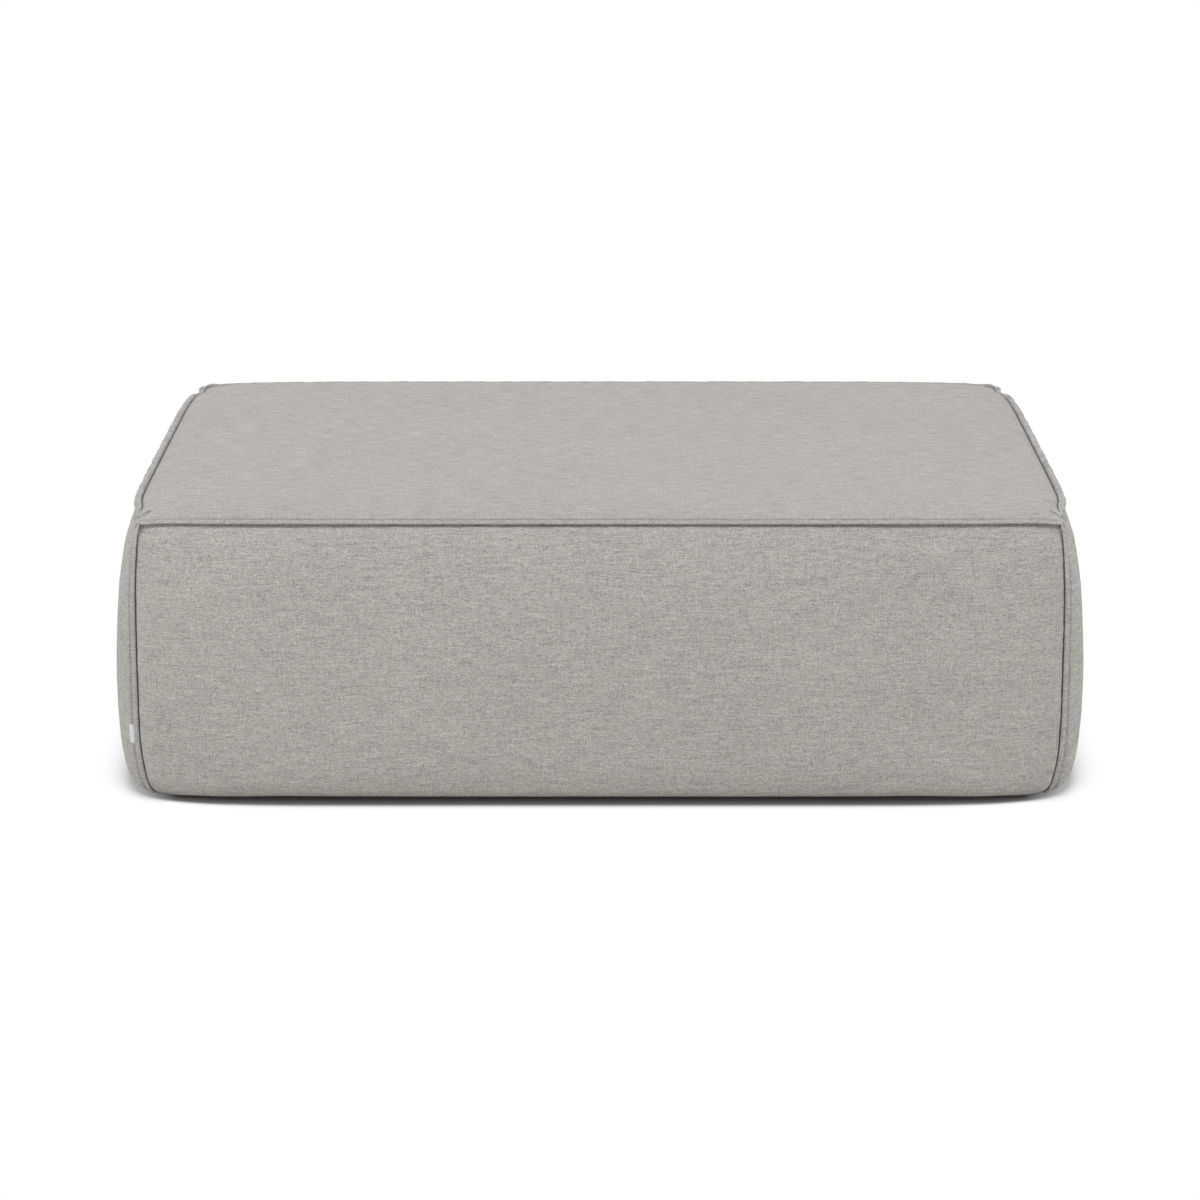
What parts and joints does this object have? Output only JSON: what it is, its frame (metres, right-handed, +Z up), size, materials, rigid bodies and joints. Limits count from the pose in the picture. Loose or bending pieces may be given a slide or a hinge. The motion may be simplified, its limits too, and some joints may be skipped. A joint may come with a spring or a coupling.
{
  "type": "ottoman",
  "caption": "Rectangular upholstered ottoman with a crowned seat and padded sides, used as a footrest or extra seat.",
  "frame": {"origin": "centre of the footprint, on the floor under the feet", "axes": "+X along the long side, front face towards -Y, +Z up"},
  "size_m": [1.27, 0.955, 0.383],
  "materials": {
    "cover_fabric": "matt woven melange upholstery cloth, warm light grey",
    "tag_tape": "smooth woven tape, blank",
    "dust_cloth": "thin black non-woven cloth",
    "fibre_wadding": "bonded white polyester fibre",
    "foam": "cut open-cell polyurethane foam",
    "felt": "grey needled felt",
    "spring_steel": "drawn spring wire and pressed strip, oiled",
    "screw_steel": "yellow zinc plate",
    "plywood": "sawn raw plywood",
    "timber": "planed raw hardwood",
    "foot_plastic": "moulded black plastic, fine texture"
  },
  "bodies": {
    "root": {"cover_top": "cover_fabric", "cover_front": "cover_fabric", "cover_right": "cover_fabric", "cover_back": "cover_fabric", "cover_left": "cover_fabric", "flange_top_front": "cover_fabric", "flange_top_right": "cover_fabric", "flange_top_back": "cover_fabric", "flange_top_left": "cover_fabric", "flange_corner_front_right": "cover_fabric", "flange_corner_back_right": "cover_fabric", "flange_corner_back_left": "cover_fabric", "flange_corner_front_left": "cover_fabric", "side_tag": "tag_tape", "dust_cover": "dust_cloth", "wadding_top": "fibre_wadding", "wadding_front": "fibre_wadding", "wadding_right": "fibre_wadding", "wadding_back": "fibre_wadding", "wadding_left": "fibre_wadding", "seat_foam_block": "foam", "foam_front": "foam", "foam_right": "foam", "foam_back": "foam", "foam_left": "foam", "insulator_felt": "felt", "spring_1": "spring_steel", "spring_2": "spring_steel", "spring_3": "spring_steel", "spring_4": "spring_steel", "spring_5": "spring_steel", "spring_6": "spring_steel", "spring_7": "spring_steel", "spring_8": "spring_steel", "spring_9": "spring_steel", "spring_clips": "spring_steel", "clip_screws": "screw_steel", "board_front": "plywood", "board_right": "plywood", "board_back": "plywood", "board_left": "plywood", "post_front_right": "timber", "post_back_right": "timber", "post_back_left": "timber", "post_front_left": "timber", "rail_front": "timber", "rail_right": "timber", "rail_back": "timber", "rail_left": "timber", "brace_left": "timber", "brace_right": "timber", "frame_screws": "screw_steel", "foot_front_right": "foot_plastic", "foot_back_right": "foot_plastic", "foot_back_left": "foot_plastic", "foot_front_left": "foot_plastic", "foot_screws": "screw_steel"}
  },
  "joints": []
}
